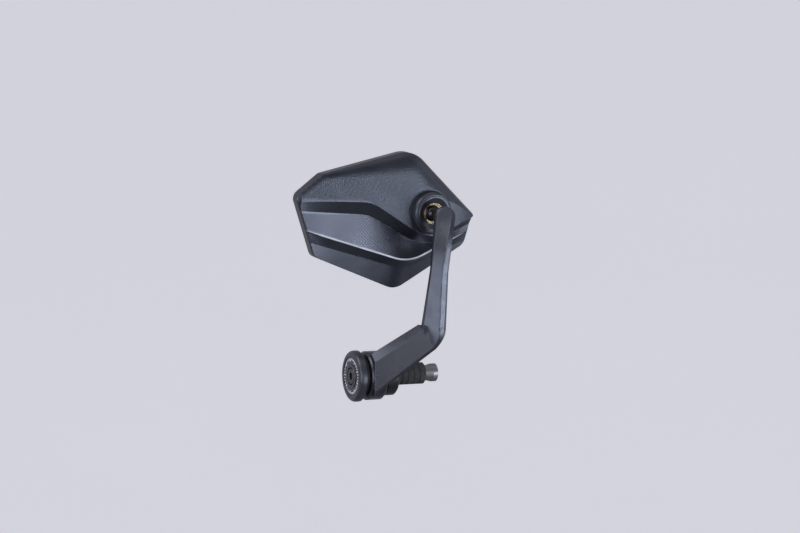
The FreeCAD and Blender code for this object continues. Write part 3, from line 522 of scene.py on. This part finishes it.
def tick_corners(angle, start):
    """Eight corners of a tick that starts at a radius."""
    along = Vector((0.0, math.cos(angle), math.sin(angle)))
    across = Vector((0.0, -math.sin(angle), math.cos(angle))) * TICK_HALF_WIDTH
    corners = []
    for x in (CAP_GROOVE_FLOOR + TICK_SUNK, CAP_GROOVE_FLOOR - TICK_PROUD):
        for radius, side in ((start, -1.0), (TICK_TO, -1.0), (TICK_TO, 1.0), (start, 1.0)):
            corners.append(Vector((x, 0.0, 0.0)) + along * radius + across * side)
    return corners


def cap_ticks():
    """Plain scale of raised ticks in the cap's ring groove."""
    points = []
    faces = []
    for k in range(TICK_COUNT):
        start = TICK_FROM if k % TICK_LONG_EVERY else TICK_LONG_FROM
        faces += [[len(points) + corner for corner in face] for face in TICK_FACES]
        points += tick_corners(FULL_TURN * k / TICK_COUNT, start)
    paint = coated("tick_paint", base=(0.72, 0.73, 0.76), worn=(0.78, 0.78, 0.8),
                   roughness=0.45, grain=0.5, depth=0.02, edge=0.1)
    ticks = add_mesh("cap_ticks", points, faces, paint, smooth=False)
    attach(ticks, "bar_clamp")


cap_ticks()


def lip_line(u, n):
    """V (n is 1) or W (n is 2) of the lip's line at U, with its turn rounded."""
    side = LIP_LEFT if u < LIP_TURN[0] else LIP_RIGHT
    share = (u - LIP_TURN[0]) / (side[0] - LIP_TURN[0])
    value = LIP_TURN[n] + (side[n] - LIP_TURN[n]) * share
    from_turn = abs(u - LIP_TURN[0])
    if from_turn < LIP_ROUND:
        slope_left = (LIP_TURN[n] - LIP_LEFT[n]) / (LIP_TURN[0] - LIP_LEFT[0])
        slope_right = (LIP_RIGHT[n] - LIP_TURN[n]) / (LIP_RIGHT[0] - LIP_TURN[0])
        value += (slope_right - slope_left) * (LIP_ROUND - from_turn) ** 2 / (4.0 * LIP_ROUND)
    return value


def bead_centre(u):
    """Point on the bead's middle line, on the object."""
    v = lip_line(u, 1) + BEAD_ABOVE
    w = lip_line(u, 2) + BEAD_OUTSIDE
    return HEAD_ORIGIN + (HEAD_U * u + HEAD_V * v + HEAD_W * w) * MM


def painted_lip_highlight():
    """Fine rounded bead along the lip of the channel, with pointed ends, pale as a painted highlight of the
    lip's edge.
    """
    points = []
    for k in range(BEAD_STEPS + 1):
        centre = bead_centre(BEAD_FROM + (BEAD_TO - BEAD_FROM) * k / BEAD_STEPS)
        from_end = min(k, BEAD_STEPS - k)
        radius = BEAD_RADIUS * MM * min(1.0, BEAD_POINT + from_end / BEAD_TAPER)
        for n in range(BEAD_SIDES):
            a = FULL_TURN * n / BEAD_SIDES
            points.append(centre + (HEAD_V * math.cos(a) + HEAD_W * math.sin(a)) * radius)
    faces = ring_faces(0, BEAD_STEPS + 1, BEAD_SIDES)
    faces.append(tuple(reversed(range(BEAD_SIDES))))
    faces.append(tuple(range(len(points) - BEAD_SIDES, len(points))))
    # Pale colour of the bead: painted highlight along the lip's edge
    finish = coated("lip_highlight_paint", base=(0.52, 0.53, 0.58), worn=(0.6, 0.61, 0.65),
                    roughness=0.28, grain=0.6, depth=0.01, edge=0.1, tint=PAINTED_COOL_REFLECTION)
    bead = add_mesh("painted_lip_highlight", points, faces, finish, smooth=True)
    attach(bead, "head")


painted_lip_highlight()


# Studio

# Paper: its colours, and the glow that the camera sees
PAPER_DARK = (0.76, 0.76, 0.80)
PAPER_LIGHT = (0.78, 0.78, 0.82)
PAPER_GLOW = (0.92, 0.92, 1.0)
PAPER_STRENGTH = 0.53


def paper_finish():
    """Pale paper that is seen, also in reflections, lighter than it lights the object."""
    finish = Finish("studio_paper")
    clouds = finish.noise(size=600.0)
    shade = finish.mix(finish.ramp(clouds, *NOISE_PLAIN), PAPER_DARK, PAPER_LIGHT)
    ray = finish.add("ShaderNodeLightPath").outputs
    behind = finish.dot(Y_AXIS)
    share = finish.ramp(finish.length(finish.dot(X_AXIS), behind), *PAPER_REACH, 0.0, PAPER_SHARE)
    share = finish.times(share, finish.ramp(behind, *PAPER_DEPTH))
    mirrored = finish.math("MAXIMUM", ray["Is Glossy Ray"], ray["Is Transmission Ray"])
    seen = finish.math("MAXIMUM", ray["Is Camera Ray"], finish.times(mirrored, share))
    finish.set(Base_Color=shade, Roughness=0.9, Specular_IOR_Level=0.0, Emission_Color=PAPER_GLOW,
               Emission_Strength=finish.times(seen, PAPER_STRENGTH))
    return finish


def bowl_profile():
    """Radius and height from the edge of the floor to the top of the wall."""
    profile = [(FLOOR_RADIUS, 0.0)]
    for k in range(1, BEND_STEPS + 1):
        a = math.radians(90.0 * k / BEND_STEPS)
        profile.append((FLOOR_RADIUS + BEND_RADIUS * math.sin(a), BEND_RADIUS * (1.0 - math.cos(a))))
    profile.append((FLOOR_RADIUS + BEND_RADIUS, WALL_HEIGHT))
    return profile


def studio_bowl():
    """Pale floor that curves up into a wall all round."""
    profile = bowl_profile()
    points = [Vector((0.0, 0.0, FLOOR_HEIGHT))]
    for radius, height in profile:
        for k in range(BOWL_SEGMENTS):
            a = FULL_TURN * k / BOWL_SEGMENTS
            points.append(Vector((radius * math.cos(a), radius * math.sin(a), FLOOR_HEIGHT + height)))
    faces = [(0, 1 + k, 1 + (k + 1) % BOWL_SEGMENTS) for k in range(BOWL_SEGMENTS)]
    faces += [face[::-1] for face in ring_faces(1, len(profile), BOWL_SEGMENTS)]
    bowl = add_mesh("studio_bowl", points, faces, paper_finish(), smooth=True)
    return bowl


def lit_pieces(name, obj, state):
    """Collection for a lamp that lights only one object, or all but that one."""
    collection = bpy.data.collections.new(name)
    collection.objects.link(obj)
    collection.collection_objects[0].light_linking.link_state = state
    return collection


def softbox(name, azimuth, elevation, distance, width, height, power, colour, receivers=None):
    """Area light that faces the object."""
    light = bpy.data.lights.new(name, "AREA")
    light.shape = "RECTANGLE"
    light.size = width
    light.size_y = height
    light.energy = power
    light.color = colour
    obj = bpy.data.objects.new(name, light)
    bpy.context.scene.collection.objects.link(obj)
    away = direction(azimuth, elevation)
    obj.location = LAMP_TARGET + away * distance
    obj.rotation_euler = away.to_track_quat("Z", "Y").to_euler()
    obj.visible_camera = False
    obj.light_linking.receiver_collection = receivers


# Light of the world
WORLD_COLOUR = (0.80, 0.82, 0.90, 1.0)
WORLD_STRENGTH = 0.22


def world_light():
    """Even cool light from all round."""
    world = bpy.data.worlds.new("studio")
    world.use_nodes = True
    background = world.node_tree.nodes["Background"]
    background.inputs["Color"].default_value = WORLD_COLOUR
    background.inputs["Strength"].default_value = WORLD_STRENGTH
    bpy.context.scene.world = world


def camera():
    """Stands where the photograph was taken from."""
    lens = bpy.data.cameras.new("camera")
    lens.lens = CAMERA_LENS
    lens.sensor_width = CAMERA_SENSOR
    obj = bpy.data.objects.new("camera", lens)
    bpy.context.scene.collection.objects.link(obj)
    obj.location = CAMERA_PLACE
    away = direction(CAMERA_AZIMUTH, CAMERA_ELEVATION)
    obj.rotation_euler = away.to_track_quat("Z", "Y").to_euler()
    bpy.context.scene.camera = obj


# The paper is spared the near lamps, so that it nowhere clips to white
no_paper = lit_pieces("no_paper", studio_bowl(), "EXCLUDE")
arm_only = lit_pieces("arm_only", nodes["arm"], "INCLUDE")
softbox("key_right", azimuth=33.5, elevation=-12.5, distance=1.9, width=1.0, height=0.55,
        power=18.0, colour=(0.86, 0.92, 1.0), receivers=no_paper)
softbox("strip_right", azimuth=54.0, elevation=-8.0, distance=1.9, width=0.35, height=0.3,
        power=5.0, colour=(0.86, 0.92, 1.0), receivers=arm_only)
softbox("side_fill", azimuth=67.0, elevation=20.0, distance=1.9, width=1.0, height=1.0,
        power=3.8, colour=(0.92, 0.95, 1.0), receivers=no_paper)
softbox("key_left", azimuth=-55.0, elevation=-2.0, distance=1.9, width=1.0, height=1.1,
        power=15.0, colour=(0.88, 0.92, 1.0), receivers=no_paper)
softbox("front_fill", azimuth=-18.0, elevation=3.0, distance=2.0, width=0.45, height=1.1,
        power=5.4, colour=(1.0, 0.98, 0.95), receivers=no_paper)
softbox("top_left", azimuth=-92.0, elevation=45.0, distance=1.9, width=1.2, height=1.2,
        power=19.0, colour=(0.92, 0.95, 1.0), receivers=no_paper)
softbox("overhead", azimuth=0.0, elevation=80.0, distance=2.6, width=3.0, height=3.0,
        power=18.0, colour=(1.0, 0.99, 0.97))
world_light()
camera()
bpy.context.scene.view_settings.view_transform = "Standard"
